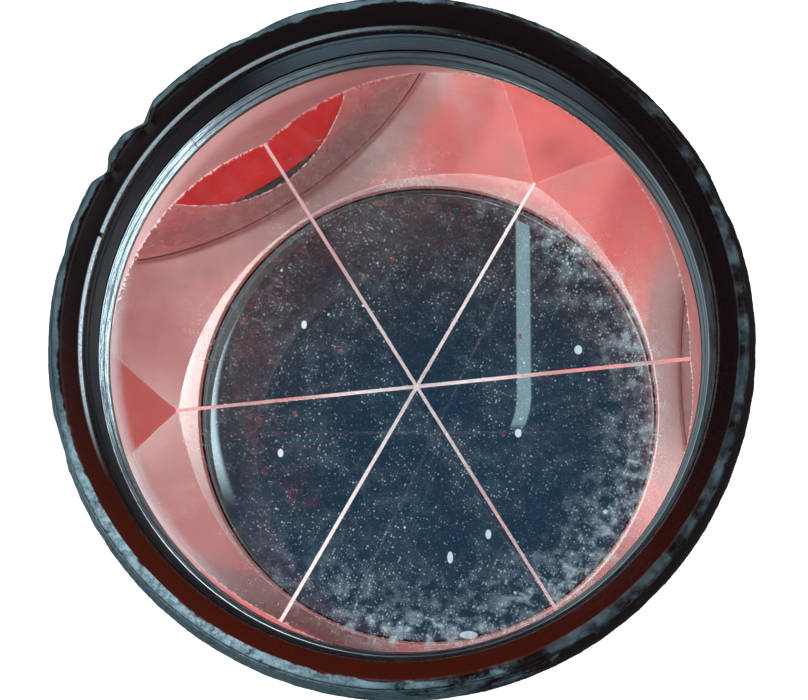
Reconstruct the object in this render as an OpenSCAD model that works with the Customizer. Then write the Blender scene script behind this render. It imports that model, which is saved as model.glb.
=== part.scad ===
// Round surveying prism: a solid glass corner cube in a screw-together canister.
// The optical axis is +Z and points out of the glass.
// The origin is the centre of the rear seating face. All sizes are in millimetres.

/* [Glass] */
// Radius of the glass body
glass_r = 32; // [31:0.25:33]
// Ground land between the highest point of the facets and the front face
rim_land = 3.3; // [1.5:0.1:5]
// Width of the ground flat along each of the three rear edges
edge_flat = 0.4; // [0.2:0.05:1]
// Bevel round the front face of the glass
front_bevel = 0.3; // [0.2:0.05:0.4]
// Turn of the first rear edge away from the X axis, in degrees
edge_turn = 2.4; // [-30:0.1:30]

/* [Canister cup] */
// Gap between the glass and the bore of the cup
bore_gap = 0.3; // [0.2:0.05:0.6]
// Wall of the neck that carries the hood thread
neck_wall = 1.7; // [1.5:0.1:2]
// Height that the neck stands in front of the glass
neck_rise = 4.1; // [3.5:0.1:4.5]
// Depth of the thread runout groove in the neck
thread_relief = 0.55; // [0.3:0.05:0.8]
// Length of the threaded part of the neck
thread_len = 6; // [4:0.5:7]
// Distance of the thread from the flange
thread_rise = 2.4; // [2:0.1:3]
// Chamfer round the end of the neck
neck_chamfer = 0.4; // [0.2:0.1:0.6]
// Distance of the flange edge inside the hood's skirt
flange_set = 0.1; // [0.05:0.05:0.4]
// Thickness of the flange
flange_t = 3.6; // [3:0.2:5]
// Chamfer of the two flange edges
flange_chamfer = 0.3; // [0.1:0.05:0.5]
// Wall of the sleeve behind the flange
sleeve_wall = 2.3; // [1.8:0.1:2.6]
// Fillet between the sleeve and the flange
sleeve_fillet = 0.6; // [0.3:0.1:0.7]
// Rounding between the sleeve and the cone
cone_round = 2.5; // [1:0.25:4]
// Wall of the rear cone, measured square to its surface
cone_wall = 2.8; // [2.4:0.1:3.6]
// Gap between the rear edges of the glass and the cone of the cup, along the axis
cone_gap = 1.6; // [1.2:0.1:3]
// Fillet between the cone and the rear boss
boss_fillet = 1.5; // [0.5:0.25:2.5]
// Wall of the rear boss round the well
boss_wall = 1.9; // [1.5:0.1:3]
// Chamfer round the rear boss
boss_chamfer = 0.8; // [0.4:0.1:1.2]
// Number of stiffening ribs round the cone
rib_count = 6; // [3:1:12]
// Thickness of a stiffening rib
rib_t = 2.2; // [1.5:0.1:4]
// Distance of the rib feet from the rear face
rib_foot = 6; // [4:0.5:12]

/* [Seat ring] */
// Distance of the rubber seat ring inside the edge of the glass
seat_inset = 6; // [4:0.5:9]
// Width of the rubber seat ring
seat_w = 2.6; // [2:0.1:3]
// Gap between the seat ring and the rear edges of the glass
seat_gap = 0.15; // [0.1:0.05:0.25]

/* [Front hood] */
// Radial clearance between the hood and the neck
thread_fit = 0.1; // [0.05:0.01:0.1]
// Wall of the fluted skirt of the hood
skirt_wall = 1.6; // [1.5:0.05:2]
// Length of the skirt behind the glass face
skirt_len = 10.5; // [10:0.25:12]
// Gap between the skirt and the flange of the cup
parting_gap = 0.3; // [0.2:0.05:0.5]
// Number of grip flutes round the skirt
flute_count = 40; // [24:1:48]
// Radius of the cutter that makes a flute
flute_r = 1.3; // [1:0.1:1.6]
// Depth of a grip flute
flute_d = 0.4; // [0.2:0.05:0.6]
// Distance of the flutes from the back of the skirt
flute_back = 1.6; // [1:0.1:3]
// Distance of the flutes from the foot of the flank
flute_front = 2.6; // [2:0.1:4]
// Height of the foot of the flank above the glass face
flank_h = 6.8; // [6:0.1:8]
// Step from the skirt out to the foot of the flank
flank_lip = 0.4; // [0.2:0.05:0.6]
// Outward bow of the flank
flank_bow = 0.45; // [0:0.05:0.6]
// Height of the front rim above the glass face
rim_h = 13.4; // [12.5:0.1:16]
// Width of the flat front rim
rim_w = 0.95; // [0.6:0.05:1.1]
// Width of the mouth funnel inside the rim
funnel_w = 1.65; // [1.2:0.05:2]
// Depth of the mouth funnel
funnel_d = 2.05; // [1.5:0.05:3]
// Length of the ridged bead behind the funnel
bead_len = 2.6; // [2:0.1:3.2]
// Radial fall of the bead from the funnel to the throat
bead_fall = 0.33; // [0.2:0.01:0.5]
// Number of ridges on the bead
bead_ridges = 3; // [2:1:5]
// Height of a bead ridge
bead_ridge_h = 0.14; // [0.05:0.01:0.2]
// Step from the retaining ring out to the throat
throat_step = 0.1; // [0.1:0.05:0.3]

/* [Glass gasket] */
// Reach of the gasket's lip over the edge of the glass
gasket_reach = 0.6; // [0.5:0.1:1.5]
// Thickness of the lip on the glass face
gasket_t = 0.4; // [0.3:0.05:0.8]
// Thickness of the gasket round the side of the glass
gasket_wall = 0.5; // [0.4:0.05:0.6]
// Length of the gasket down the side of the glass
gasket_len = 4.5; // [3:0.1:6]
// Clearance of the gasket round the glass and in the neck
gasket_fit = 0.05; // [0.02:0.01:0.1]
// Gap between the end of the gasket and the step in the neck
gasket_end_gap = 0.2; // [0.1:0.1:0.5]

/* [Retaining ring] */
// Clearance of the ring in the neck
ring_fit = 0.1; // [0.05:0.01:0.2]
// Widening of the ring from the gasket to its front edge
ring_flare = 0.25; // [0.2:0.05:0.5]
// Plain lip at the front and the back of the ring
ring_lip = 0.3; // [0.2:0.05:0.5]
// Number of ridges inside the ring
ridge_count = 4; // [2:1:6]
// Depth of the valleys between the ridges
ridge_d = 0.16; // [0.05:0.01:0.25]
// Width of the split in the ring
split_w = 0.2; // [0.1:0.05:0.6]
// Turn of the split from the X axis, in degrees
split_turn = 134.7; // [0:0.1:360]

/* [Hood gasket and seal] */
// Thickness of the flat gasket between the neck and the hood
hood_gasket_t = 1; // [0.8:0.1:1.4]
// Depth of the gasket groove in the hood
hood_groove_d = 0.4; // [0.2:0.1:0.6]
// Distance of the gasket's inner edge from the edge of the neck
hood_gasket_set = 0.2; // [0.2:0.05:0.4]
// Section radius of the ring seal on the flange
seal_r = 0.45; // [0.35:0.05:0.5]
// Play beside a seal or gasket in its groove
groove_side = 0.1; // [0.05:0.01:0.15]

/* [Thread insert] */
// Wall radius of the tapped hole, which is the minor radius of a 5/8 inch 11 thread
tap_r = 6.75; // [6.5:0.05:7]
// Depth of the tapped hole
tap_depth = 14; // [12:0.5:15]
// Lead-in chamfer at the mouth of the tapped hole
tap_chamfer = 1.2; // [0.8:0.1:1.5]
// Wall of the threaded shank
shank_wall = 3.25; // [2.5:0.25:4]
// Chamfer at the end of the shank
shank_chamfer = 0.6; // [0.3:0.1:1]
// Thickness of the closed end of the insert
insert_end = 2.2; // [1.5:0.1:3]
// Width of the seating flange round the shank
seat_flange_w = 5; // [4.5:0.1:6]
// Thickness of the seating flange
seat_flange_t = 2.4; // [2:0.1:3]
// Chamfer of the seating flange
seat_chamfer = 0.4; // [0.2:0.1:0.8]
// Height that the seating flange stands proud of the boss
seat_proud = 0.8; // [0.4:0.1:1.2]
// Gap round the seating flange in its recess
recess_gap = 0.15; // [0.1:0.05:0.3]
// Thickness of the floor of the cup between the flange and the washer
floor_t = 7.5; // [6.5:0.25:8]
// Width of the washer round the shank
washer_w = 4.6; // [3:0.1:5]
// Thickness of the washer
washer_t = 1; // [0.8:0.1:1.5]
// Least wall of the hexagon nut round the shank
nut_wall = 3; // [2:0.1:4]
// Thickness of the hexagon nut
nut_t = 4; // [3:0.25:4.25]
// Chamfer of the nut's corners
nut_chamfer = 0.8; // [0.4:0.1:1.2]
// Gap between the corners of the nut and the well of the cup
well_gap = 0.6; // [0.4:0.1:1]
// Clearance of the cup, the washer and the nut on the shank
insert_fit = 0.1; // [0.05:0.01:0.2]
// Distance of the two pins from the edge of the seating flange
pin_set = 1.6; // [1.2:0.1:1.8]
// Radius of a pin
pin_r = 0.9; // [0.6:0.1:1]
// Clearance of a pin in its two holes
pin_fit = 0.03; // [0.01:0.01:0.1]
// Depth of a pin in the flange
pin_in_flange = 1.2; // [0.8:0.1:1.5]
// Depth of a pin in the cup
pin_in_cup = 3.5; // [2:0.25:5]
// Section radius of the ring seal under the flange
insert_seal_r = 0.65; // [0.5:0.05:0.7]
// Distance of the seal's middle from the shank
insert_seal_set = 1.4; // [1.2:0.05:1.5]
// Gap between the end of the insert and the apex of the prism
apex_gap = 2.65; // [2:0.05:6]

/* [Hidden] */
$fn = 120;
eps = 0.01;

// A cube corner stood on its apex: rise of its edges and of its facet middles per unit of radius
edge_rise = 1 / sqrt(2);
facet_rise = sqrt(2);
cube_tilt = acos(1 / sqrt(3));
cone_slope = atan(edge_rise);

// Radii of the cup and the glass end, from the bore outwards and inwards
bore_r = glass_r + bore_gap;
gasket_in = glass_r + gasket_fit;
gasket_out = gasket_in + gasket_wall;
gasket_bore_r = gasket_out + gasket_fit;
neck_r = bore_r + neck_wall;
sleeve_r = bore_r + sleeve_wall;
hood_bore_r = neck_r + thread_fit;
skirt_r = hood_bore_r + skirt_wall;
hood_r = skirt_r + flank_lip;
flange_r = skirt_r - flange_set;
ring_r = gasket_bore_r - ring_fit;
clear_r = glass_r - gasket_reach;
ring_front_r = clear_r + ring_flare;
throat_r = ring_front_r + throat_step;
mouth_r = throat_r + bead_fall;
rim_in_r = mouth_r + funnel_w;
rim_out_r = rim_in_r + rim_w;

// Radii of the insert and what sits round it
shank_r = tap_r + shank_wall;
seat_flange_r = shank_r + seat_flange_w;
washer_r = shank_r + washer_w;
nut_corner_r = 2 * (shank_r + nut_wall) / sqrt(3);
well_r = nut_corner_r + well_gap;
boss_r = well_r + boss_wall;
shank_hole_r = shank_r + insert_fit;
pin_circle = seat_flange_r - pin_set;
insert_seal_mid = shank_r + insert_seal_set;

// Heights along the axis
floor_z = seat_flange_t + floor_t;
nut_z = floor_z + washer_t;
insert_top = tap_depth + insert_end;
apex_z = insert_top + apex_gap;
glass_h = facet_rise * glass_r + rim_land;
glass_z = apex_z + glass_h;
neck_top = glass_z + neck_rise;
gasket_foot = glass_z - gasket_len;
hood_back = glass_z - skirt_len;
flange_top = hood_back - parting_gap;
flange_bottom = flange_top - flange_t;
thread_start = flange_top + thread_rise;
shoulder_z = neck_top + hood_gasket_t - hood_groove_d;
flank_z = glass_z + flank_h;
rim_z = glass_z + rim_h;
mouth_z = rim_z - funnel_d;
bead_z = mouth_z - bead_len;

// Seats and grooves
cone_drop = cone_wall / cos(cone_slope);
seat_r = glass_r - seat_inset;
seat_in = seat_r - seat_w / 2;
seat_out = seat_r + seat_w / 2;
seal_mid = neck_r + groove_side + seal_r;
seal_play = 0.1;
hole_spare = 0.1;
seal_groove_d = 2 * seal_r + seal_play - parting_gap;
insert_seal_play = 0.02;
hood_gasket_in = gasket_bore_r + hood_gasket_set;
hood_gasket_out = neck_r - neck_chamfer;

// Height of the inner and outer cone surface of the cup at a radius
function cone_in(r) = apex_z - cone_gap + edge_rise * r;
function cone_out(r) = cone_in(r) - cone_drop;

// Points of an arc round a centre, from one angle to another
function arc(centre, r, from, to, steps = 6) =
    [for (i = [0 : steps]) let (a = from + (to - from) * i / steps) centre + r * [cos(a), sin(a)]];

// Knocks on the front rim: turn in degrees, depth and half width
knocks = [
    [139.2, 0.95, 2.3],
    [149.6, 0.85, 1.9],
    [116, 0.35, 4.5],
    [165.5, 0.25, 2.6],
    [197, 0.2, 3],
    [23, 0.2, 4]
];
knock_tilt = atan((hood_r - rim_out_r) / (rim_z - flank_z));
knock_reach = 3;

// A ring with a round section
module ring_seal(mid, section, z) {
    translate([0, 0, z])
        rotate_extrude()
            translate([mid, 0])
                circle(r = section, $fn = 32);
}

// A flat ring between two radii and two heights
module flat_ring(inner, outer, z, height) {
    translate([0, 0, z])
        difference() {
            cylinder(r = outer, h = height);
            translate([0, 0, -eps]) cylinder(r = inner, h = height + 2 * eps);
        }
}

// Two places opposite each other on the pin circle
module pin_places() {
    for (side = [0, 180])
        rotate([0, 0, side])
            translate([pin_circle, 0, 0])
                children();
}

// The corner of a cube, stood on its apex with a ground flat along each edge
module cube_corner(side) {
    rotate([0, 0, edge_turn - 60])
        rotate([0, -cube_tilt, 0])
            rotate([0, 0, -45])
                difference() {
                    cube(side);
                    for (i = [0 : 2])
                        rotate(120 * i, [1, 1, 1])
                            rotate([45, 0, 0])
                                translate([-1, -1, -edge_flat])
                                    cube([side + 2, 1 + edge_flat / 2, 2 * edge_flat]);
                }
}

module prism_glass() {
    color([0.62, 0.72, 0.78, 0.5])
        translate([0, 0, apex_z])
            intersection() {
                cube_corner(3 * glass_r);
                rotate_extrude()
                    polygon([
                        [0, 0],
                        [glass_r, 0],
                        [glass_r, glass_h - front_bevel],
                        [glass_r - front_bevel, glass_h],
                        [0, glass_h]
                    ]);
            }
}

// One stiffening rib between the boss and the cone
module cone_rib() {
    root = 0.6;
    heel = boss_r + 0.8;
    head = sleeve_r - cone_round;
    rotate([90, 0, 0])
        linear_extrude(height = rib_t, center = true)
            polygon([
                [boss_r - root, rib_foot],
                [heel, rib_foot],
                [head, cone_out(head) + root],
                [boss_r - root, cone_out(boss_r) + root]
            ]);
}

// Groove in the floor of the flange recess
module insert_seal_groove() {
    reach = insert_seal_r + groove_side;
    depth = 2 * (insert_seal_r + insert_seal_play);
    flat_ring(insert_seal_mid - reach, insert_seal_mid + reach, seat_flange_t - eps, depth + eps);
}

module canister_cup() {
    seal_edge = seal_mid + seal_r + groove_side;
    slope_lift = 1 / cos(cone_slope);
    fillet_r = boss_r + boss_fillet;
    round_r = sleeve_r - cone_round;
    thread_root = neck_r - thread_relief;
    thread_end = thread_start + thread_len;
    outside = concat(
        [
            [seat_flange_r + recess_gap, seat_proud],
            [boss_r - boss_chamfer, seat_proud],
            [boss_r, seat_proud + boss_chamfer]
        ],
        arc([fillet_r, cone_out(fillet_r) - boss_fillet * slope_lift], boss_fillet, 180, 90 + cone_slope),
        arc([round_r, cone_out(round_r) + cone_round * slope_lift], cone_round, cone_slope - 90, 0),
        arc([sleeve_r + sleeve_fillet, flange_bottom - sleeve_fillet], sleeve_fillet, 180, 90),
        [
            [flange_r - flange_chamfer, flange_bottom],
            [flange_r, flange_bottom + flange_chamfer],
            [flange_r, flange_top - flange_chamfer],
            [flange_r - flange_chamfer, flange_top]
        ]
    );
    neck = [
        [seal_edge, flange_top],
        [seal_edge, flange_top - seal_groove_d],
        [neck_r, flange_top - seal_groove_d],
        [neck_r, thread_start],
        [thread_root, thread_start + thread_relief],
        [thread_root, thread_end],
        [neck_r, thread_end + thread_relief],
        [neck_r, neck_top - neck_chamfer],
        [neck_r - neck_chamfer, neck_top]
    ];
    inside = [
        [gasket_bore_r, neck_top],
        [gasket_bore_r, gasket_foot - gasket_end_gap],
        [bore_r, gasket_foot - gasket_end_gap],
        [bore_r, cone_in(bore_r)],
        [seat_out, cone_in(seat_out)],
        [seat_out, cone_in(seat_in)],
        [seat_in, cone_in(seat_in)],
        [well_r, cone_in(well_r)],
        [well_r, floor_z],
        [shank_hole_r, floor_z],
        [shank_hole_r, seat_flange_t],
        [seat_flange_r + recess_gap, seat_flange_t]
    ];
    color("firebrick")
        difference() {
            union() {
                rotate_extrude() polygon(concat(outside, neck, inside));
                for (i = [0 : rib_count - 1])
                    rotate([0, 0, edge_turn + i * 360 / rib_count]) cone_rib();
            }
            insert_seal_groove();
            pin_places() cylinder(r = pin_r + pin_fit, h = seat_flange_t + pin_in_cup + hole_spare);
        }
}

// Rubber ring on a ledge of the cone, under the three rear edges of the glass
module seat_ring() {
    function seat_top(r) = apex_z + edge_rise * r - seat_gap;
    inner = seat_in + groove_side;
    outer = seat_out - groove_side;
    color([0.09, 0.09, 0.1])
        rotate_extrude()
            polygon([
                [inner, cone_in(seat_in)],
                [outer, cone_in(seat_in)],
                [outer, seat_top(outer)],
                [inner, seat_top(inner)]
            ]);
}

// Rubber ring with a lip on the glass face and a skirt down its side
module glass_gasket() {
    color([0.07, 0.07, 0.08])
        rotate_extrude()
            polygon([
                [clear_r, glass_z],
                [gasket_in, glass_z],
                [gasket_in, gasket_foot],
                [gasket_out, gasket_foot],
                [gasket_out, glass_z + gasket_t],
                [clear_r, glass_z + gasket_t]
            ]);
}

// Sprung split ring with fine ridges inside, which holds the glass in the neck
module retaining_ring() {
    back_z = glass_z + gasket_t;
    back_r = clear_r + ridge_d / 3;
    height = neck_rise - gasket_t;
    step = (height - 2 * ring_lip) / ridge_count;
    function wall(z) = back_r + (ring_front_r - back_r) * z / height;
    ridges = [
        for (i = [0 : ridge_count - 1])
            let (z = height - ring_lip - i * step)
            each [[wall(z), z], [wall(z - step / 2) + ridge_d, z - step / 2]]
    ];
    color([0.2, 0.21, 0.23])
        difference() {
            translate([0, 0, back_z])
                rotate_extrude()
                    polygon(concat(
                        [[back_r, 0], [ring_r, 0], [ring_r, height], [ring_front_r, height]],
                        ridges,
                        [[wall(ring_lip), ring_lip]]
                    ));
            rotate([0, 0, split_turn])
                translate([clear_r - 1, -split_w / 2, back_z - 1])
                    cube([ring_r - clear_r + 2, split_w, height + 2]);
        }
}

module flange_seal() {
    color([0.06, 0.06, 0.06])
        ring_seal(seal_mid, seal_r, flange_top - seal_groove_d + seal_r);
}

module thread_insert() {
    color("goldenrod")
        difference() {
            rotate_extrude()
                polygon([
                    [0, insert_top],
                    [shank_r - shank_chamfer, insert_top],
                    [shank_r, insert_top - shank_chamfer],
                    [shank_r, seat_flange_t],
                    [seat_flange_r, seat_flange_t],
                    [seat_flange_r, seat_chamfer],
                    [seat_flange_r - seat_chamfer, 0],
                    [tap_r + tap_chamfer, 0],
                    [tap_r, tap_chamfer],
                    [tap_r, tap_depth],
                    [0, tap_depth]
                ]);
            pin_places()
                translate([0, 0, seat_flange_t - pin_in_flange - hole_spare])
                    cylinder(r = pin_r + pin_fit, h = pin_in_flange + 1);
        }
}

module insert_seal() {
    color([0.06, 0.06, 0.06])
        ring_seal(insert_seal_mid, insert_seal_r, seat_flange_t + insert_seal_r + insert_seal_play);
}

module insert_pins() {
    color("silver")
        pin_places()
            translate([0, 0, seat_flange_t - pin_in_flange])
                cylinder(r = pin_r, h = pin_in_flange + pin_in_cup);
}

module insert_washer() {
    color("silver")
        flat_ring(shank_hole_r, washer_r, floor_z, washer_t);
}

module insert_nut() {
    color("goldenrod")
        translate([0, 0, nut_z])
            difference() {
                intersection() {
                    cylinder(r = nut_corner_r, h = nut_t, $fn = 6);
                    rotate_extrude()
                        polygon([
                            [0, 0],
                            [nut_corner_r, 0],
                            [nut_corner_r, nut_t - nut_chamfer],
                            [nut_corner_r - 3 * nut_chamfer, nut_t],
                            [0, nut_t]
                        ]);
                }
                translate([0, 0, -eps]) cylinder(r = shank_hole_r, h = nut_t + 2 * eps);
            }
}

// Flat gasket held in a groove under the shoulder of the hood
module hood_gasket() {
    color([0.05, 0.05, 0.05])
        flat_ring(hood_gasket_in, hood_gasket_out, neck_top, hood_gasket_t);
}

// V-shaped knock along the flank, cut in from outside
module rim_knock(turn, depth, half_width) {
    spread = half_width / depth;
    rotate([0, 0, turn])
        translate([rim_out_r - depth, 0, rim_z])
            rotate([0, -knock_tilt, 0])
                translate([0, 0, -rim_h])
                    linear_extrude(height = rim_h + 2)
                        polygon([
                            [0, 0],
                            [knock_reach, -knock_reach * spread],
                            [knock_reach, knock_reach * spread]
                        ]);
}

// Threaded hood with a funnel mouth, a ridged bead and a fluted skirt
module front_hood() {
    edge = 0.4;
    rim_edge = 0.2;
    bead_step = bead_len / bead_ridges;
    bead = [
        for (i = [0 : bead_ridges - 1])
            let (z = mouth_z - i * bead_step, r = mouth_r - i * bead_fall / bead_ridges)
            each [
                [r, z],
                [r - bead_ridge_h, z - 0.3 * bead_step],
                [r - bead_ridge_h, z - 0.7 * bead_step],
                [r, z - 0.9 * bead_step]
            ]
    ];
    flank_foot = [hood_r, flank_z];
    flank_top = [rim_out_r + 1.5 * rim_edge, rim_z - 2 * rim_edge];
    flank = [
        for (i = [0 : 8])
            let (t = i / 8)
            flank_foot + (flank_top - flank_foot) * t + [4 * flank_bow * t * (1 - t), 0]
    ];
    groove_in = hood_gasket_in - groove_side;
    groove_out = hood_gasket_out + groove_side;
    color([0.08, 0.07, 0.07])
        difference() {
            rotate_extrude()
                polygon(concat(
                    [
                        [hood_bore_r + rim_edge, hood_back],
                        [skirt_r - edge, hood_back],
                        [skirt_r, hood_back + edge],
                        [skirt_r, flank_z - 3 * edge],
                        [hood_r - edge / 8, flank_z - 2 * edge]
                    ],
                    flank,
                    [[rim_out_r - rim_edge / 2, rim_z]],
                    arc([rim_in_r + rim_edge, rim_z - rim_edge], rim_edge, 90, 140, 3),
                    bead,
                    [
                        [throat_r, bead_z],
                        [throat_r, shoulder_z],
                        [groove_in, shoulder_z],
                        [groove_in, shoulder_z + hood_groove_d],
                        [groove_out, shoulder_z + hood_groove_d],
                        [groove_out, shoulder_z],
                        [hood_bore_r, shoulder_z],
                        [hood_bore_r, hood_back + rim_edge]
                    ]
                ));
            for (i = [0 : flute_count - 1])
                rotate([0, 0, (i + 0.5) * 360 / flute_count])
                    translate([skirt_r + flute_r - flute_d, 0, hood_back + flute_back])
                        cylinder(r = flute_r, h = flank_z - hood_back - flute_back - flute_front, $fn = 32);
            for (knock = knocks)
                rim_knock(knock[0], knock[1], knock[2]);
        }
}

canister_cup();
prism_glass();
seat_ring();
glass_gasket();
retaining_ring();
flange_seal();
thread_insert();
insert_seal();
insert_pins();
insert_washer();
insert_nut();
hood_gasket();
front_hood();
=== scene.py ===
import math

import bmesh
import bpy
from mathutils import Matrix, Vector, noise


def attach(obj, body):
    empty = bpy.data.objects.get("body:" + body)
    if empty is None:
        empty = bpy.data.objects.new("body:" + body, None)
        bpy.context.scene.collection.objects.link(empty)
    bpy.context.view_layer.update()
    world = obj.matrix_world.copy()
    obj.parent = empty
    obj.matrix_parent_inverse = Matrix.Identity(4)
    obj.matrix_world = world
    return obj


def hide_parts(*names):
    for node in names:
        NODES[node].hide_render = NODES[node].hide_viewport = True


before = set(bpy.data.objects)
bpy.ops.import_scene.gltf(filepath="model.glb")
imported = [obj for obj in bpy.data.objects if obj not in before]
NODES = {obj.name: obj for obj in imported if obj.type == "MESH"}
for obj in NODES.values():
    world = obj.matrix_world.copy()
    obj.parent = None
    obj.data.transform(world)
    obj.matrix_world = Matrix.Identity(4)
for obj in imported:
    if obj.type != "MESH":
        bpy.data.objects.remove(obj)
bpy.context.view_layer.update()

MM = 0.001
SCENE = bpy.context.scene

# Sizes of the part in millimetres; heights named _h count from the glass face
GLASS_Z = 67.405
GLASS_R = 32.0
GLASS_DEEP = 48.555
EDGE_FLAT = 0.4
FRONT_BEVEL = 0.3
EDGE_TURN = 2.4
CLEAR_R = 31.4
GASKET_T = 0.4
NECK_H = 4.1
THROAT_R = 31.75
LIP_R, LIP_H = 32.08, 11.35
RIM_IN_R, RIM_OUT_R, RIM_H = 33.73, 34.68, 13.4
HOOD_R, FLANK_H = 36.1, 6.8
SKIRT_R, SKIRT_BACK_H = 35.7, -10.5
HOOD_BORE_R = 34.1
FLUTES_BACK_H, FLUTES_FRONT_H = SKIRT_BACK_H + 0.8, FLANK_H - 1.8
FACE_CENTRE = Vector((0, 0, GLASS_Z * MM))
# Wear of the hood shows above this height
WORN_FROM_H = FLANK_H - 1.5
# Knocks on the front rim: turn in degrees, depth and half width
KNOCKS = [
    (139.2, 0.95, 2.3),
    (149.6, 0.85, 1.9),
    (116.0, 0.35, 4.5),
    (165.5, 0.25, 2.6),
    (197.0, 0.20, 3.0),
    (23.0, 0.20, 4.0),
]
# Waviness of the worn rim: fineness and share of each noise
RIM_WEAR = [(0.55, 0.5), (1.7, 0.3), (4.1, 0.2)]
# Dust grains on the glass: size, seat of the pattern, reach and strength
GRAINS = [(0.30, 2.0, 0.72, 0.30), (0.8, 7.0, 0.17, 0.50), (4.2, 4.0, 0.14, 0.85)]
# Dried drops on the glass: place from the axis, half width and half height
DROPS = [
    (6.8, -29.6, 0.95, 0.40),
    (-10.6, 3.1, 0.30, 0.45),
    (12.1, -8.6, 0.35, 0.45),
    (18.5, 0.2, 0.42, 0.48),
    (8.9, -19.2, 0.30, 0.50),
    (4.9, -21.6, 0.30, 0.62),
    (-13.0, -10.6, 0.30, 0.45),
]
# Materials of the glass, by their place in its list
FACETS, SIDE, FACE, EDGES = range(4)


# ---------- shader expressions ----------

# Sockets of the Mix node when it mixes colours
MIX_FACTOR, MIX_A, MIX_B, MIX_RESULT = 0, 6, 7, 2


class Value:
    """A shader socket that can stand in a Python expression"""

    def __init__(self, finish, socket):
        self.finish = finish
        self.socket = socket

    def beside(self, output):
        """Another output of the same node"""
        return Value(self.finish, self.socket.node.outputs[output])

    def math(self, operation, *others):
        inputs = dict(enumerate((self, *others)))
        return self.finish.node("Math", {"operation": operation}, inputs)

    def __add__(self, other): return self.math("ADD", other)
    def __radd__(self, other): return self.math("ADD", other)
    def __mul__(self, other): return self.math("MULTIPLY", other)
    def __rmul__(self, other): return self.math("MULTIPLY", other)
    def __sub__(self, other): return self.math("SUBTRACT", other)

    def __rsub__(self, other):
        return self.finish.node("Math", {"operation": "SUBTRACT"}, {0: other, 1: self})

    def __truediv__(self, other): return self.math("DIVIDE", other)
    def __pow__(self, other): return self.math("POWER", other)
    def __gt__(self, other): return self.math("GREATER_THAN", other)
    def __lt__(self, other): return self.math("LESS_THAN", other)
    def __abs__(self): return self.math("ABSOLUTE")

    def between(self, low, high):
        """0 at low, 1 at high, smooth in between"""
        return self.finish.node("MapRange", {"interpolation_type": "SMOOTHSTEP"},
                                {"Value": self, "From Min": low, "From Max": high})


class Finish:
    """The nodes of one material, or of the world"""

    def __init__(self, owner, output="OutputMaterial"):
        self.owner = bpy.data.materials.new(owner) if isinstance(owner, str) else owner
        self.owner.use_nodes = True
        self.tree = self.owner.node_tree
        self.tree.nodes.clear()
        self.output = self.node(output)

    def feed(self, socket, item):
        """Links a value to the socket, or sets a constant on it"""
        if isinstance(item, Value):
            self.tree.links.new(item.socket, socket)
        elif hasattr(socket, "default_value"):
            if isinstance(item, tuple) and len(item) == 3 and len(socket.default_value) == 4:
                item = (*item, 1.0)
            socket.default_value = item

    def node(self, kind, settings=None, inputs=None, out=0):
        """A new node, given as the chosen output"""
        node = self.tree.nodes.new("ShaderNode" + kind)
        for key, item in (settings or {}).items():
            setattr(node, key, item)
        for key, item in (inputs or {}).items():
            self.feed(node.inputs[key], item)
        return Value(self, node.outputs[out]) if node.outputs else node

    def place(self):
        return self.node("TexCoord", out="Object")

    def axes(self):
        """X, Y and Z of the point in millimetres, with Z counted from the glass face"""
        split = self.node("SeparateXYZ", {}, {"Vector": self.place()})
        x, y, z = (split.beside(axis) / MM for axis in "XYZ")
        return x, y, z - GLASS_Z

    def from_axis(self):
        """Radius and height of the point in millimetres"""
        x, y, h = self.axes()
        return (x * x + y * y) ** 0.5, h

    def towards(self, turn):
        """1 on the side of that turn in degrees, -1 on the far side"""
        x, y, h = self.axes()
        a = math.radians(turn)
        return (x * math.cos(a) + y * math.sin(a)) / (x * x + y * y) ** 0.5

    def speckle(self, size_mm, detail=2.0, rough=0.5, stretch=(1, 1, 1), seat=0.0):
        """Soft noise; another seat gives another pattern"""
        where = self.node("Mapping", {}, {
            "Vector": self.place(), "Scale": stretch, "Location": (seat, seat, seat)})
        return self.node("TexNoise", {"noise_dimensions": "3D"}, {
            "Vector": where, "Scale": 1 / (size_mm * MM), "Detail": detail, "Roughness": rough})

    def flat_cells(self, size_mm, seat, out):
        """Random cells in the plane of the glass face"""
        where = self.node("Mapping", {}, {"Vector": self.place(), "Rotation": (0.0, 0.0, seat)})
        return self.node("TexVoronoi", {"feature": "F1", "voronoi_dimensions": "2D"},
                         {"Vector": where, "Scale": 1 / (size_mm * MM)}, out=out)

    def mix(self, factor, a, b):
        return self.node("Mix", {"data_type": "RGBA"}, {MIX_FACTOR: factor, MIX_A: a, MIX_B: b},
                         out=MIX_RESULT)

    def bump(self, height, depth_mm):
        return self.node("Bump", {}, {"Height": height, "Strength": 1.0, "Distance": depth_mm * MM})

    def surface(self, **inputs):
        named = {name.replace("_", " "): item for name, item in inputs.items()}
        return self.node("BsdfPrincipled", {}, named)

    def blend(self, factor, a, b):
        return self.node("MixShader", {}, {0: factor, 1: a, 2: b})

    def done(self, shader):
        self.feed(self.output.inputs["Surface"], shader)
        return self.owner


# ---------- finishes ----------

GLASS_IOR = 1.517


def lamps_shine_through(f, shader):
    """The shader, but clear to the light of lamps"""
    return f.blend(f.node("LightPath", out="Is Shadow Ray"), shader, f.node("BsdfTransparent"))


def glass(f, tint, roughness):
    return f.node("BsdfGlass", {}, {"Color": tint, "Roughness": roughness, "IOR": GLASS_IOR})


def clear_glass(f):
    return lamps_shine_through(f, glass(f, (0.985, 0.99, 0.985), 0.0))


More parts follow.
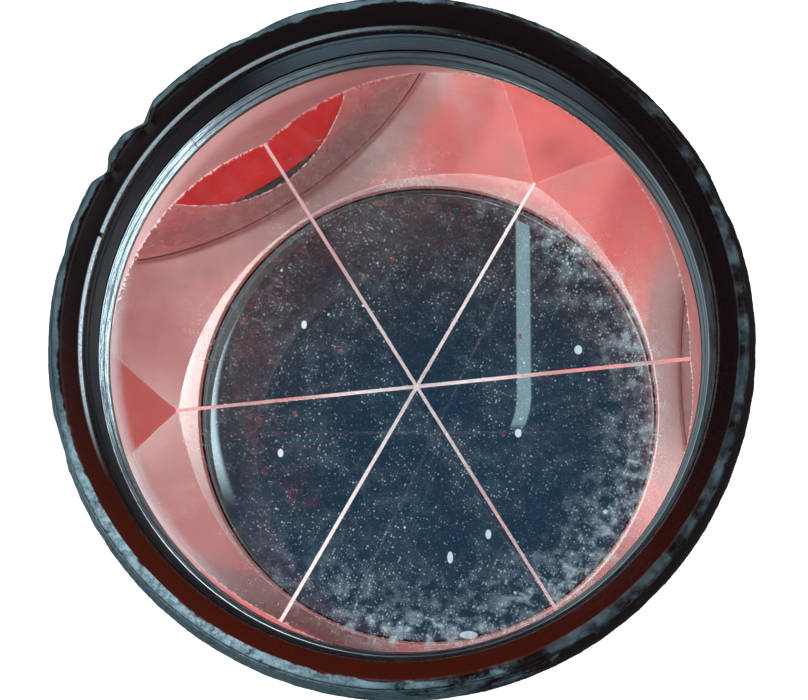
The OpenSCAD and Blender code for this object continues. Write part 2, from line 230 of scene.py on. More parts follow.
def polished_facets():
    """Polished glass whose rim is chipped where the facets run out into the ground side"""
    f = Finish("polished glass facets")
    radius = f.from_axis()[0]
    ragged = f.speckle(0.45, 3.0, 0.7)
    flakes = f.speckle(1.6, 2.0, 0.6, seat=3.0).between(0.60, 0.75)
    rougher = f.towards(132.0).between(0.70, 0.85)
    bitten = radius + ragged * (rougher * 0.9 + 0.5) + flakes * 0.22 - rougher * 0.38
    chip = f.surface(Base_Color=(0.85, 0.72, 0.70), Roughness=0.7)
    return f.done(f.blend(bitten.between(32.17, 32.23), clear_glass(f), chip))


def ground_edge():
    """The narrow flats ground along the three rear edges"""
    f = Finish("ground glass edges")
    outer = f.from_axis()[0].between(7.0, 17.0)
    right = f.towards(EDGE_TURN).between(0.9, 0.99) * outer
    upper = f.towards(EDGE_TURN + 120).between(0.9, 0.99) * outer
    pale = f.mix(f.speckle(1.2, 3.0, 0.6), (0.92, 0.86, 0.88), (1.0, 0.97, 0.99))
    # Painted light: two of the flats are painted coral and all of them glow faintly through
    # emission, standing in for the red light of the cup seen through them
    tone = f.mix(right * 0.62 + upper * 0.35, pale, (0.95, 0.36, 0.33))
    scatter = f.surface(Base_Color=tone, Roughness=0.7, Emission_Color=tone,
                        Emission_Strength=0.18)
    rough = glass(f, (1.0, 0.84, 0.82), 0.3)
    return f.done(f.blend(right * 0.55 + upper * 0.25, scatter, rough))


def ground_glass():
    """Fine ground glass: white scatter with the red of the cup showing through, with painted light,
    shade and glow
    """
    f = Finish("ground glass side")
    grain = f.speckle(0.12, 2.0, 0.6)
    cloud = f.speckle(7.0, 2.0, 0.5)
    h = f.axes()[2]
    deep = h.between(-12.0, -17.0)
    # Painted light: one flank is painted a brighter coral, as if more of the lit red of the cup
    # came through there
    red_flank = f.towards(-119.0).between(0.80, 0.96) * (cloud.between(0.3, 0.6) * 0.35 + 0.65)
    coral = f.mix(deep, (0.93, 0.15, 0.14), (1.0, 0.27, 0.26))
    tone = f.mix(cloud.between(0.35, 0.65), (0.64, 0.27, 0.26), (0.72, 0.34, 0.33))
    tone = f.mix(red_flank, tone, coral)
    # Painted shade: just behind the face the side is darker, most of all on one side, where the
    # ring and gasket shade it
    shade_near_face = f.mix(f.towards(-20.0).between(0.7, 0.95), (0.38, 0.27, 0.27), (0.60, 0.19, 0.18))
    tone = f.mix(h.between(-7.5, -2.5) * 0.7, tone, shade_near_face)
    # Painted light: one side is painted paler, where light falls on it across the glass
    lit_pale_side = f.towards(138.0).between(0.75, 0.97) * h.between(-14.0, -6.0)
    tone = f.mix(lit_pale_side, tone, (0.95, 0.62, 0.60))
    # Painted glow: emission stands in for light that runs round inside the ground layer, deep down
    # on the coral flank and at the bevel
    glow = f.mix(red_flank * deep, (0.0, 0.0, 0.0), (0.53, 0.144, 0.139))
    glow = f.mix(h.between(-1.3, -0.35), glow, (0.62, 0.30, 0.30))
    scatter = f.surface(Base_Color=tone, Roughness=grain * 0.3 + 0.5, Emission_Color=glow,
                        Emission_Strength=0.30)
    rough = glass(f, (1.0, 0.88, 0.86), 0.42)
    open_side = f.towards(0.0).between(0.75, 0.95) * h.between(-10.0, -16.0)
    body = f.blend(open_side * 0.16 - red_flank * 0.24 + 0.34, scatter, rough)
    return f.done(lamps_shine_through(f, body))


def front_glass():
    """Polished front face with dust grains, a few dried drops, a dry crust low on the right and a
    painted reflection near the rim on the left
    """
    f = Finish("dusty glass face")
    x, y, h = f.axes()
    radius = (x * x + y * y) ** 0.5
    # The crust is a broken ring round a place below the middle, on its right side only
    out_x, out_y = x - 2.6, y + 6.0
    away = (out_x * out_x + out_y * out_y) ** 0.5
    side = ((out_x * 0.87 - out_y * 0.5) / away).between(-0.45, 0.35)
    crust = away.between(15.5, 22.5) * 0.5 + away.between(20.0, 23.0) * 0.7
    crust = crust * away.between(26.0, 24.3) * side
    # Painted reflection: a pale blue film near the rim on the left stands in for the bright ring
    # mirrored in the face
    rim_reflection = radius.between(29.8, 31.2) * f.towards(198.0).between(0.75, 0.97)
    cloud = f.speckle(1.5, 4.0, 0.65, seat=9.0)
    patches = f.speckle(5.0, 3.0, 0.6, seat=5.0)
    clumps = cloud.between(0.40, 0.70) * patches.between(0.30, 0.60)
    haze = clumps * (crust * 0.42 + 0.03) + rim_reflection * 0.45 + patches.between(0.4, 0.8) * 0.02
    # Grains lie thinner towards the rim
    thin = away.between(31.0, 21.0) * 0.6 + 0.4
    marks = 0.0
    for size, seat, amount, strength in GRAINS:
        spread = crust * 0.4 + patches * 1.1
        reach = f.flat_cells(size, seat, "Color") ** 3 * amount * spread * thin
        grains = (reach - f.flat_cells(size, seat, "Distance")).between(0.0, 0.05)
        marks = grains * strength + marks
    for drop_x, drop_y, width, height in DROPS:
        off = ((x - drop_x) / width) ** 2 + ((y - drop_y) / height) ** 2
        marks = off.between(1.15, 0.75) * 0.7 + marks
    flaked = (radius + cloud * 1.2).between(32.0, 32.1) * f.towards(-124.0).between(0.975, 0.995)
    marks = flaked * 0.8 + marks
    film_tone = f.mix(rim_reflection, (0.62, 0.75, 0.82), (0.85, 0.76, 0.75))
    film = f.surface(Base_Color=film_tone, Roughness=0.9)
    return f.done(f.blend((marks + haze).math("MINIMUM", 0.9), clear_glass(f), film))


def black_hood_finish():
    """Black hood: glossy inside, dry and worn to blue-grey on the rim and the flank, with painted
    highlight, sheen, shade and reflection
    """
    f = Finish("black hood, worn rim")
    radius, h = f.from_axis()
    fine = f.speckle(0.5, 4.0, 0.65)
    broad = f.speckle(3.0, 4.0, 0.65, seat=2.0)
    long_marks = f.speckle(0.8, 3.0, 0.6, stretch=(0.3, 0.3, 1.6), seat=7.0)

    # How much each side of the rim has been handled
    left = f.towards(150.0).between(0.2, 0.8)
    lower_left = f.towards(-148.0).between(0.0, 0.8)
    bottom_left = f.towards(-127.0).between(0.80, 0.97)
    low = f.towards(-105.0).between(0.3, 0.85)
    top = f.towards(82.0).between(0.75, 0.95)
    right = f.towards(-20.0).between(0.1, 0.7)

    # Where it is worn: along the outer edge, save one clean line, and in patches on the right
    on_flank = h.between(FLANK_H - 0.3, FLANK_H + 0.3) * (radius > RIM_IN_R - 0.1)
    border = radius - (broad - 0.5) * 1.3 - RIM_OUT_R + 0.12 + left * 0.48 + top * 0.2
    border = border + lower_left * 0.12 + bottom_left * 0.20 + low * 0.6
    handled = broad * 0.9 + fine * 0.35 + long_marks * 0.35
    handled = handled + lower_left * 0.35 + left * 0.3 + top * 0.16
    handled = handled - (RIM_H - h) * (1 - low) * 0.05
    line = abs(radius + (fine - 0.5) * 0.2 - RIM_OUT_R + 0.02).between(0.10, 0.03)
    line = line * (h > RIM_H - 0.6)
    edge_wear = border.between(-0.08, 0.12) * handled.between(0.86, 1.08) * (1 - line * 0.8)
    rim_wear = radius.between(RIM_OUT_R + 0.3, RIM_OUT_R - 0.1) * broad.between(0.42, 0.64)
    worn = on_flank * edge_wear.math("MAXIMUM", rim_wear * right * 0.36)

    # The clean black: a painted brown reflection low in the funnel, painted sheen on the turning
    # lines at the top of the throat, and dust on the right of the throat
    brown_reflection_side = f.towards(-100.0).between(-0.1, 1.0)
    funnel = (radius < RIM_IN_R + 0.1) * (h > LIP_H - 0.05)
    throat = (radius < LIP_R - 0.2) * (h < LIP_H - 0.6)
    turned = ((h + fine * 0.3) * 11.0).math("SINE") * 0.5 + 0.5
    dusty = throat * f.towards(-8.0).between(0.80, 0.97) * broad.between(0.35, 0.65)
    clean = f.mix(funnel * brown_reflection_side, (0.005, 0.0025, 0.0028), (0.038, 0.005, 0.002))
    clean = f.mix(throat, clean, (0.002, 0.005, 0.008))
    # Painted sheen: the turning lines at the top of the throat are painted pale blue
    clean = f.mix(throat * top * (turned * 0.6 + 0.4), clean, (0.085, 0.150, 0.190))
    clean = f.mix(dusty, clean, (0.045, 0.072, 0.080))

    # The worn tint: real wear marks, with painted sheen that makes it palest at the lower left, and
    # painted shade that darkens it on the left and down the flank on the low side
    sheen_lower_left = f.towards(-134.0).between(0.72, 0.98)
    shaded = low * h.between(RIM_H - 0.4, RIM_H - 1.4) * 0.7
    tint = f.mix(long_marks.between(0.30, 0.70), (0.028, 0.048, 0.060), (0.115, 0.180, 0.210))
    tint = f.mix(sheen_lower_left * fine.between(0.35, 0.65), tint, (0.22, 0.31, 0.35))
    tint = f.mix(shaded, tint, (0.024, 0.042, 0.050))
    tint = f.mix(left * (1 - sheen_lower_left) * 0.50, tint, (0.020, 0.036, 0.044))

    # Painted highlight: a bright, partly metallic line along the lip on the left stands in for
    # light on its rounding; one nick cuts across it
    lip = abs(radius - LIP_R).between(0.26, 0.10) * abs(h - LIP_H).between(0.36, 0.12)
    lip = lip * f.towards(165.0).between(0.0, 0.8) * f.towards(160.3).between(0.99999, 0.99994)
    lip = lip * f.towards(-127.0).between(0.90, 0.65)
    lip_highlight_tone = f.mix(f.towards(176.0).between(0.90, 0.98), (0.36, 0.48, 0.53), (0.55, 0.70, 0.78))
    colour = f.mix(lip, f.mix(worn, clean, tint), lip_highlight_tone)

    relief = f.bump(fine * worn, 0.05)
    gloss = worn * 0.30 + fine * 0.12 + throat * 0.25 + 0.22
    inside = f.surface(Base_Color=colour, Roughness=gloss, Metallic=lip * 0.6,
                       Specular_IOR_Level=0.07, Normal=relief)
    dry = f.surface(Base_Color=colour, Roughness=fine * 0.2 + 0.55,
                    Specular_IOR_Level=0.01, Normal=relief)
    rim = f.blend((radius > RIM_OUT_R - 0.25) * (h > FLANK_H - 1.0), inside, dry)

    # The fluted skirt keeps its sheen, and dust lies in its flutes
    flutes = (radius < SKIRT_R - 0.10) * broad.between(0.30, 0.65)
    grip_tone = f.mix(flutes, (0.006, 0.005, 0.006), (0.024, 0.022, 0.021))
    scuffs = long_marks.between(0.60, 0.72) * 0.5
    grip_tone = f.mix(scuffs, grip_tone, (0.034, 0.037, 0.038))
    grip = f.surface(Base_Color=grip_tone, Roughness=fine * 0.2 + 0.30,
                     Specular_IOR_Level=0.16, Normal=relief)
    on_skirt = (h < FLANK_H - 1.0) * (radius > HOOD_BORE_R + 0.3)
    return f.done(f.blend(on_skirt, rim, grip))


def ring_metal_finish():
    """Dark plated spring ring with fine turning lines, stains and dust on one side, painted bright
    on the left and dark elsewhere
    """
    f = Finish("plated ring")
    streaks = f.speckle(0.35, 2.0, 0.6, stretch=(0.15, 0.15, 4.0))
    stains = f.speckle(4.0, 3.0, 0.6, seat=3.0)
    h = f.axes()[2]
    # Painted light and shade: the metal is painted bright on the left and dark elsewhere, a little
    # less dark on the right; the stains in the bright part are real
    bright = f.mix(stains.between(0.4, 0.7), (0.44, 0.56, 0.62), (0.30, 0.39, 0.44))
    dull = f.mix(f.towards(0.0).between(-0.2, 0.7), (0.10, 0.135, 0.15), (0.22, 0.31, 0.34))
    colour = f.mix(f.towards(180.0).between(0.75, -0.2), bright, dull)
    grooves = ((h + 0.25) * 6.3).math("SINE").between(0.75, 0.95) * 0.7
    colour = f.mix(grooves, colour, (0.03, 0.04, 0.045))
    dusty = f.towards(-10.0).between(0.5, 0.9)
    roughness = streaks * 0.20 + dusty * 0.4 + 0.10
    return f.done(f.surface(Base_Color=colour, Metallic=1.0, Roughness=roughness,
                            Normal=f.bump(streaks, 0.02)))


def black_rubber_finish():
    """Black rubber with a faint grey bloom"""
    f = Finish("black rubber")
    grain = f.speckle(0.25, 3.0, 0.6)
    bloom = f.speckle(4.0, 2.0, 0.5, seat=6.0)
    colour = f.mix(bloom.between(0.4, 0.75), (0.012, 0.012, 0.013), (0.030, 0.030, 0.032))
    return f.done(f.surface(Base_Color=colour, Roughness=grain * 0.2 + 0.55,
                            Normal=f.bump(grain, 0.03)))


def red_cup_finish():
    """Moulded red plastic with a faint grain, clouding and scuffs"""
    f = Finish("red moulded plastic")
    grain = f.speckle(0.35, 3.0, 0.6)
    cloud = f.speckle(12.0, 3.0, 0.5, seat=1.0).between(0.3, 0.7)
    scuff = f.speckle(1.6, 4.0, 0.7, stretch=(1, 1, 0.25), seat=4.0).between(0.66, 0.78)
    colour = f.mix(cloud, (0.50, 0.010, 0.010), (0.62, 0.018, 0.014))
    colour = f.mix(scuff * 0.35, colour, (0.60, 0.22, 0.20))
    roughness = grain * 0.18 + scuff * 0.2 + 0.30
    relief = f.bump(grain, 0.02)
    outside = f.surface(Base_Color=colour, Roughness=roughness, Normal=relief)
    # Painted reflection: behind the glass the cup mirrors nothing but itself, so its red is painted
    # deeper there, with less sheen
    deep = f.mix(cloud, (0.56, 0.006, 0.006), (0.68, 0.010, 0.009))
    inside = f.surface(Base_Color=deep, Roughness=roughness, Specular_IOR_Level=0.06,
                       Normal=relief)
    x, y, h = f.axes()
    normal_x = f.node("SeparateXYZ", {}, {"Vector": f.node("TexCoord", out="Normal")})
    faces_axis = x * normal_x + y * normal_x.beside("Y") < -0.5
    return f.done(f.blend(faces_axis, outside, inside))


def brass_finish():
    """Turned brass, darker where it has tarnished"""
    f = Finish("turned brass")
    lines = f.speckle(0.25, 2.0, 0.6, stretch=(0.2, 0.2, 3.0))
    tarnish = f.speckle(5.0, 4.0, 0.6, seat=2.0)
    colour = f.mix(tarnish.between(0.42, 0.72), (0.62, 0.44, 0.17), (0.32, 0.21, 0.09))
    return f.done(f.surface(Base_Color=colour, Metallic=1.0, Roughness=lines * 0.2 + 0.22,
                            Normal=f.bump(lines, 0.015)))


def steel_finish():
    """Plain steel with fine lines and dull stains"""
    f = Finish("plain steel")
    lines = f.speckle(0.3, 2.0, 0.6, stretch=(0.3, 0.3, 3.0))
    stain = f.speckle(3.0, 3.0, 0.6, seat=5.0)
    colour = f.mix(stain.between(0.4, 0.7), (0.56, 0.57, 0.58), (0.38, 0.38, 0.37))
    return f.done(f.surface(Base_Color=colour, Metallic=1.0, Roughness=lines * 0.2 + 0.28,
                            Normal=f.bump(lines, 0.01)))


# ---------- shapes ----------

def rounded(corners, steps=4):
    """Outline with its corners eased: each corner is a radius, a height and a rounding"""
    points = []
    count = len(corners)
    for i, (r, z, ease) in enumerate(corners):
        here = Vector((r, z))
        before = Vector(corners[i - 1][:2])
        after = Vector(corners[(i + 1) % count][:2])
        if ease == 0:
            points.append(here)
            continue
        a = here + (before - here).normalized() * min(ease, (before - here).length * 0.49)
        b = here + (after - here).normalized() * min(ease, (after - here).length * 0.49)
        for k in range(steps + 1):
            t = k / steps
            points.append(a * (1 - t) ** 2 + here * 2 * t * (1 - t) + b * t * t)
    return points


def divided(points, longest):
    """The same closed outline with no side longer than the given length"""
    out = []
    for a, b in zip(points, points[1:] + points[:1]):
        pieces = max(1, math.ceil((b - a).length / longest))
        out += [a.lerp(b, k / pieces) for k in range(pieces)]
    return out


def closed_loop(bm, places):
    """Points joined into one closed loop"""
    points = [bm.verts.new(place) for place in places]
    return points + [bm.edges.new(pair) for pair in zip(points, points[1:] + points[:1])]


def spun(outline, segments, angle=2 * math.pi, start=0.0):
    """A closed outline spun round the optical axis, one sector first and then its copies"""
    sectors, weld_mm = 24, 0.002
    sector = angle / sectors
    bm = bmesh.new()
    side = Vector((math.cos(start), math.sin(start), 0))
    loop = closed_loop(bm, [side * p.x * MM + Vector((0, 0, p.y * MM)) for p in outline])
    bmesh.ops.spin(bm, geom=loop, cent=(0, 0, 0), axis=(0, 0, 1), angle=sector,
                   steps=segments // sectors)
    bmesh.ops.spin(bm, geom=bm.verts[:] + bm.edges[:] + bm.faces[:], cent=(0, 0, 0),
                   axis=(0, 0, 1), angle=angle - sector, steps=sectors - 1, use_duplicate=True)
    bmesh.ops.remove_doubles(bm, verts=bm.verts, dist=weld_mm * MM)
    if not math.isclose(angle, 2 * math.pi):
        bmesh.ops.holes_fill(bm, edges=[e for e in bm.edges if e.is_boundary], sides=0)
    bmesh.ops.recalc_face_normals(bm, faces=bm.faces)
    return bm


def new_object(name, bm, materials):
    """The mesh as an object of the scene"""
    mesh = bpy.data.meshes.new(name)
    bm.to_mesh(mesh)
    bm.free()
    for material in materials:
        mesh.materials.append(material)
    obj = bpy.data.objects.new(name, mesh)
    SCENE.collection.objects.link(obj)
    return obj


def piece(name, bm, body, materials, replaces=(), crease=35):
    """A piece of the visual model, smooth up to the crease angle in degrees"""
    for face in bm.faces:
        face.smooth = True
    obj = new_object(name, bm, materials)
    obj.data.set_sharp_from_angle(angle=math.radians(crease))
    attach(obj, body)
    if replaces:
        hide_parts(*replaces)


def prism_body():
    """Glass cylinder cut to a cube corner at the back, with a ground flat along each edge"""
    bm = bmesh.new()
    apex = (GLASS_Z - GLASS_DEEP) * MM
    bmesh.ops.create_cone(bm, cap_ends=True, segments=480, radius1=GLASS_R * MM,
                          radius2=GLASS_R * MM, depth=GLASS_DEEP * MM)
    bmesh.ops.translate(bm, verts=bm.verts, vec=(0, 0, apex + GLASS_DEEP * MM / 2))
    front = [e for e in bm.edges if all(v.co.z > GLASS_Z * MM - 1e-6 for v in e.verts)]
    bmesh.ops.bevel(bm, geom=front, offset=FRONT_BEVEL * MM, segments=1, profile=0.5,
                    affect="EDGES", material=-1)

    def grind(turn, lean, set_back):
        """Cuts away what lies behind a leaning plane and closes the cut"""
        normal = Vector((math.cos(turn) * lean, math.sin(turn) * lean, -1)).normalized()
        place = Vector((0, 0, apex)) - normal * set_back
        bmesh.ops.bisect_plane(bm, geom=bm.verts[:] + bm.edges[:] + bm.faces[:], dist=1e-7,
                               plane_co=place, plane_no=normal, clear_outer=True)
        cut = [e for e in bm.edges if e.is_boundary]
        return bmesh.ops.contextual_create(bm, geom=cut)["faces"]

    turn = math.radians(EDGE_TURN)
    third = math.radians(120)
    for i in range(3):
        for face in grind(turn + third / 2 + third * i, math.sqrt(2), 0):
            face.material_index = FACETS
    for i in range(3):
        for face in grind(turn + third * i, 1 / math.sqrt(2), EDGE_FLAT * MM / 2):
            face.material_index = EDGES
    bm.normal_update()
    level, upright = 0.99, 0.05
    for face in bm.faces:
        if face.normal.z > level:
            face.material_index = FACE
        elif abs(face.normal.z) < upright or face.normal.z > 0.2:
            face.material_index = SIDE
    return bm


def lifted(points, height):
    return [Vector((p.x, p.y + height)) for p in points]


def hood_outline():
    """Section of the hood: skirt, flank, rim, funnel, ridged bead, throat, groove and bore"""
    bead = []
    ridges, bead_len, fall, height = 2, 2.6, 0.33, 0.10
    step = bead_len / ridges
    for i in range(ridges):
        r, h = LIP_R - i * fall / ridges, LIP_H - i * step
        bead += [(r, h, 0.1), (r - height, h - 0.3 * step, 0.12),
                 (r - height, h - 0.7 * step, 0.12), (r, h - 0.92 * step, 0.1)]
    flank = []
    parts, bulge = 12, 0.45
    for i in range(1, parts):
        t = i / parts
        r = HOOD_R + (RIM_OUT_R - HOOD_R) * t + 4 * bulge * t * (1 - t)
        flank.append((r, FLANK_H + (RIM_H - 0.3 - FLANK_H) * t, 0))
    shoulder = NECK_H + 0.6
    groove_in, groove_out, groove_deep = 32.8, 33.7, 0.4
    corners = [
        (HOOD_BORE_R + 0.2, SKIRT_BACK_H, 0.1),
        (SKIRT_R, SKIRT_BACK_H, 0.4),
        (SKIRT_R, FLANK_H - 1.25, 0.2),
        (HOOD_R, FLANK_H - 0.85, 0.3),
        *flank,
        (RIM_OUT_R, RIM_H, 0.3),
        (RIM_IN_R, RIM_H, 0.22),
        *bead,
        (THROAT_R, LIP_H - bead_len, 0.05),
        (THROAT_R, shoulder, 0.1),
        (groove_in, shoulder, 0),
        (groove_in, shoulder + groove_deep, 0),
        (groove_out, shoulder + groove_deep, 0),
        (groove_out, shoulder, 0),
        (HOOD_BORE_R, shoulder, 0),
        (HOOD_BORE_R, SKIRT_BACK_H + 0.3, 0),
    ]
    return lifted(divided(rounded(corners, 3), 1.3), GLASS_Z)


def limited(value):
    """The value kept between 0 and 1"""
    return max(0.0, min(1.0, value))


def tent(distance, half_width):
    """1 in the middle, 0 from the half width on"""
    t = max(0.0, 1 - abs(distance) / half_width)
    return t * t * (3 - 2 * t) * 0.4 + t * 0.6


def rim_loss(place, r, h, a):
    """How far knocks and wear move a point of the rim inward and down"""
    rise = limited((h - WORN_FROM_H) / 3)
    outer = limited((r - 33.45) / 0.9)
    inward, drop = 0.0, 0.0
    for turn, depth, half_width in KNOCKS:
        away = (math.degrees(a) - turn + 180) % 360 - 180
        hit = tent(math.radians(away) * r, half_width)
        inward += depth * hit * outer * (0.45 + 0.55 * rise)
        drop += 0.45 * depth * hit * limited((h - 11.5) / 2)
    wear = sum(noise.noise(place * fineness) * share for fineness, share in RIM_WEAR)
    inward += (0.10 + 0.16 * wear) * outer * rise
    drop += max(0.0, 0.10 * wear + 0.03) * limited(h - 12.3)
    return inward, drop


def flute_depth(h, a):
    """How deep the grip flutes of the skirt are at this place, shallower at their ends"""
    flutes, flute_r, flute_d = 40, 1.3, 0.4
    pitch = 2 * math.pi / flutes
    across = ((a / pitch) % 1 - 0.5) * pitch * SKIRT_R
    dip = flute_d - flute_r + math.sqrt(max(0.0, flute_r ** 2 - across ** 2))
    from_end = min(h - FLUTES_BACK_H, FLUTES_FRONT_H - h)
    return max(0.0, dip) * limited(from_end / 0.8)


def batter(bm):
    """Knocks and wear on the rim and the flank, and the grip flutes on the skirt"""
    for v in bm.verts:
        r = math.hypot(v.co.x, v.co.y) / MM
        h = v.co.z / MM - GLASS_Z
        a = math.atan2(v.co.y, v.co.x)
        inward, drop = 0.0, 0.0
        if h > WORN_FROM_H and r > 33.2:
            inward, drop = rim_loss(v.co / MM, r, h, a)
        if r > SKIRT_R - 0.45 and FLUTES_BACK_H < h < FLUTES_FRONT_H:
            inward += flute_depth(h, a)
        v.co.x -= math.cos(a) * inward * MM
        v.co.y -= math.sin(a) * inward * MM
        v.co.z -= drop * MM


def ring_outline():
    """Section of the retaining ring, with its ridges on the inside"""
    ridges, depth, lip, outer = 5, 0.34, 0.3, 32.5
    height = NECK_H - GASKET_T
    step = (height - 2 * lip) / ridges

    def wall(h):
        return CLEAR_R + 0.05 + 0.20 * h / height

    corners = [(CLEAR_R + 0.05, 0, 0.08), (outer, 0, 0.08), (outer, height, 0.12),
               (wall(height), height, 0.14)]
    for i in range(ridges):
        h = height - lip - i * step
        corners += [(wall(h), h, 0.08), (wall(h - step / 2) + depth, h - step / 2, 0.12)]
    corners.append((wall(lip), lip, 0.1))
    return lifted(rounded(corners, 3), GASKET_T + GLASS_Z)


def gasket_outline():
    """Section of the gasket: a flat lip on the glass face and a skirt round the side"""
    inner, outer, foot = GLASS_R + 0.05, GLASS_R + 0.55, -4.5
    corners = [(CLEAR_R, 0, 0.08), (inner, 0, 0), (inner, foot, 0.1), (outer, foot, 0.1),
               (outer, GASKET_T, 0.1), (CLEAR_R, GASKET_T, 0.12)]
    return lifted(rounded(corners, 3), GLASS_Z)


def helix(r_root, r_crest, pitch, z_from, turns):
    """A V-shaped thread ridge that climbs round the axis"""
    bm = bmesh.new()
    half, flat = pitch * 0.44, pitch * 0.12
    section = [(r_root, -half), (r_crest, -flat), (r_crest, flat), (r_root, half)]
    loop = closed_loop(bm, [(r * MM, 0, (z_from + z) * MM) for r, z in section])
    steps = int(96 * turns)
    bmesh.ops.spin(bm, geom=loop, cent=(0, 0, 0), axis=(0, 0, 1), angle=2 * math.pi * turns,
                   steps=steps, dvec=(0, 0, pitch * MM * turns / steps))
    bmesh.ops.holes_fill(bm, edges=[e for e in bm.edges if e.is_boundary], sides=0)
    bmesh.ops.recalc_face_normals(bm, faces=bm.faces)
    return bm


def insert_outline():
    """Section of the brass insert: flange at the back, shank and blind tapped hole"""
    middle, major, shank, flange = 0.001, 7.94, 10.0, 15.0
    length, flange_t, hole_deep, bevel = 16.2, 2.4, 14.0, 0.6
    corners = [
        (middle, length, 0), (shank - bevel, length, 0), (shank, length - bevel, 0),
        (shank, flange_t, 0), (flange, flange_t, 0.1), (flange, 0.4, 0.1),
        (flange - 0.4, 0.0, 0.1), (major + 0.1, 0.0, 0.1), (major, bevel, 0),
        (major, hole_deep, 0), (middle, hole_deep, 0),
    ]
    return rounded(corners, 3)


# ---------- build ----------

facets = polished_facets()
red = red_cup_finish()
black = black_hood_finish()
rubber = black_rubber_finish()
ring_metal = ring_metal_finish()
brass = brass_finish()
steel = steel_finish()

for node, finish in {
    "canister_cup": red, "seat_ring": rubber, "flange_seal": rubber, "insert_seal": rubber,
    "hood_gasket": rubber, "insert_pins": steel, "insert_washer": steel, "insert_nut": brass,
    "thread_insert": brass, "prism_glass": facets, "glass_gasket": rubber,
    "retaining_ring": ring_metal, "front_hood": black,
}.items():
    NODES[node].data.materials.clear()
    NODES[node].data.materials.append(finish)

piece("glass_cube_corner", prism_body(), "canister",
      [facets, ground_glass(), front_glass(), ground_edge()],
      ["prism_glass"], crease=20)

hood = spun(hood_outline(), 912)
batter(hood)
bmesh.ops.recalc_face_normals(hood, faces=hood.faces)
piece("hood_shell", hood, "hood", [black], ["front_hood"])

# The ring is split by a gap of a tenth of a millimetre
split, gap = math.radians(134.7), 0.1 / 31.5
ring = spun(ring_outline(), 900, 2 * math.pi - gap, split + gap / 2)
piece("split_ring", ring, "canister", [ring_metal], ["retaining_ring"])

piece("lip_gasket", spun(gasket_outline(), 480), "canister", [rubber],
      ["glass_gasket"])
piece("neck_thread", helix(r_root=33.40, r_crest=33.97, pitch=1.5, z_from=59.9, turns=3.2),
      "canister", [red])
piece("brass_insert", spun(insert_outline(), 240), "canister", [brass],
      ["thread_insert"])
piece("insert_thread", helix(r_root=7.98, r_crest=6.78, pitch=2.309, z_from=1.2, turns=5.0),
      "canister", [brass])


# ---------- stage ----------

def flat_card(name, centre, half_x, half_y, material):
    """A level card of the stage, which is no part of the model"""
    bm = bmesh.new()
    bmesh.ops.create_grid(bm, x_segments=1, y_segments=1, size=1)
    bmesh.ops.scale(bm, vec=(half_x, half_y, 1), verts=bm.verts)
    bmesh.ops.translate(bm, vec=centre, verts=bm.verts)
    obj = new_object(name, bm, [material])
    return obj


def floor_finish():
    """Pale floor that fades out far away and isn't seen from below"""
    f = Finish("pale floor")
    tone = f.mix(f.speckle(60.0), (0.93, 0.93, 0.93), (0.96, 0.96, 0.96))
    top = f.surface(Base_Color=tone, Roughness=0.9, Emission_Color=tone, Emission_Strength=0.22)
    far = f.from_axis()[0].between(300.0, 800.0)
    from_below = f.node("NewGeometry", out="Backfacing")
    return f.done(f.blend(far.math("MAXIMUM", from_below), top, f.node("BsdfTransparent")))


def dark_card_finish():
    """What the glass looks back at: a dark blue-grey board with a soft blue patch, a pale strip
    that bends at its foot, and a bright edge"""
    f = Finish("dark board")
    x, y, h = f.axes()
    blue = ((x - 10.0) ** 2 + y ** 2).between(16000.0, 2000.0)
    tone = f.mix(blue, (0.024, 0.030, 0.040), (0.012, 0.035, 0.065))
    bend = (y + 60.0).math("MAXIMUM", 0.0) ** 2 * 0.0174
    strip = abs(x + 20.1 - bend).between(3.4, 2.5) * (y > -150.0) * y.between(-45.0, -49.0)
    tone = f.mix(strip * 0.9, tone, (0.24, 0.38, 0.45))
    reach = ((x - 20.8) ** 2 + (y + 55.5) ** 2) ** 0.5
    edge = reach.between(88.5, 91.0) * x.between(60.0, 100.0) * y.between(-12.0, -40.0)
    tone = f.mix(edge, tone, (0.60, 0.82, 0.92))
    return f.done(f.node("Emission", {}, {"Color": tone, "Strength": 1.0}))


floor = flat_card("floor", centre=(0, 0, -0.0005), half_x=3, half_y=3, material=floor_finish())
floor.visible_diffuse = False
floor.visible_glossy = False
floor.visible_transmission = False
card = flat_card("dark_board", centre=(0, -0.01, 0.6), half_x=0.20, half_y=0.23,
                 material=dark_card_finish())
card.visible_camera = False
card.visible_shadow = False


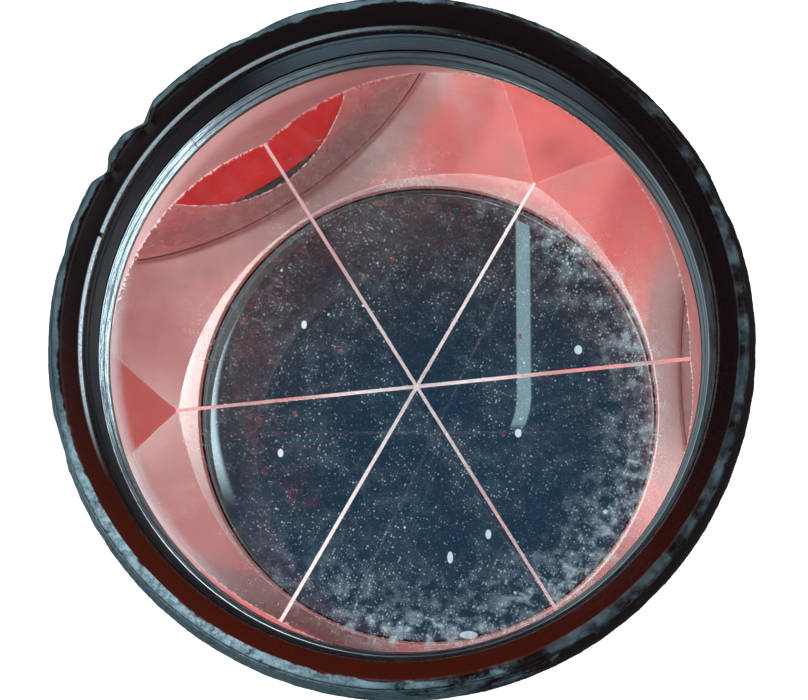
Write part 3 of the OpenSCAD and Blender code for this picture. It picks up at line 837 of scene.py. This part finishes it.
def studio_world():
    """White to the camera, and a soft cool light for everything else"""
    f = Finish(bpy.data.worlds.new("studio"), "OutputWorld")
    light = f.node("Background", {}, {"Color": (0.86, 0.95, 1.0), "Strength": 0.63})
    seen = f.node("Background", {}, {"Color": (1.0, 1.0, 1.0)})
    return f.done(f.blend(f.node("LightPath", out="Is Camera Ray"), light, seen))


SCENE.world = studio_world()


def softbox(name, azimuth, elevation, distance, size, power, colour):
    """A lamp that looks at the middle of the glass face"""
    a, e = math.radians(azimuth), math.radians(elevation)
    way = Vector((math.cos(a) * math.cos(e), math.sin(a) * math.cos(e), math.sin(e)))
    data = bpy.data.lights.new(name, "AREA")
    data.shape = "RECTANGLE"
    data.size, data.size_y = size
    data.energy = power
    data.color = colour
    obj = bpy.data.objects.new(name, data)
    place = Matrix.Translation(FACE_CENTRE + way * distance)
    obj.matrix_world = place @ way.to_track_quat("Z", "Y").to_matrix().to_4x4()
    SCENE.collection.objects.link(obj)


softbox("right_box", azimuth=-10, elevation=36, distance=0.8, size=(1.0, 0.62), power=7.8,
        colour=(0.92, 0.98, 1.0))
softbox("left_box", azimuth=165, elevation=52, distance=0.8, size=(0.6, 0.35), power=3.8,
        colour=(0.97, 0.98, 1.0))
softbox("front_box", azimuth=66, elevation=50, distance=0.9, size=(0.4, 0.25), power=2.3,
        colour=(1.0, 0.99, 0.97))

# Camera of the photograph: its axis, the glass face seen from it, and its lens
PICTURE_PX, FOCAL_PX, SENSOR_MM = 808, 1894.8, 36
axis = Vector((-0.0518, 0.1329, 1.0)).normalized()
face = Vector((-0.0662, -0.3027, -201.09)) * MM
across = (Vector((1, 0, 0)) - axis.x * axis).normalized()
turned = Matrix((across, axis.cross(across), axis))
camera_data = bpy.data.cameras.new("camera")
camera_data.sensor_width = SENSOR_MM
camera_data.lens = FOCAL_PX / PICTURE_PX * SENSOR_MM
camera_data.clip_start = 0.01
camera_data.clip_end = 20
camera = bpy.data.objects.new("camera", camera_data)
camera.matrix_world = Matrix.Translation(FACE_CENTRE - turned @ face) @ turned.to_4x4()
SCENE.collection.objects.link(camera)
SCENE.camera = camera

SCENE.view_settings.view_transform = "Standard"
SCENE.cycles.glossy_bounces = 12
SCENE.cycles.transmission_bounces = 12
SCENE.cycles.max_bounces = 24
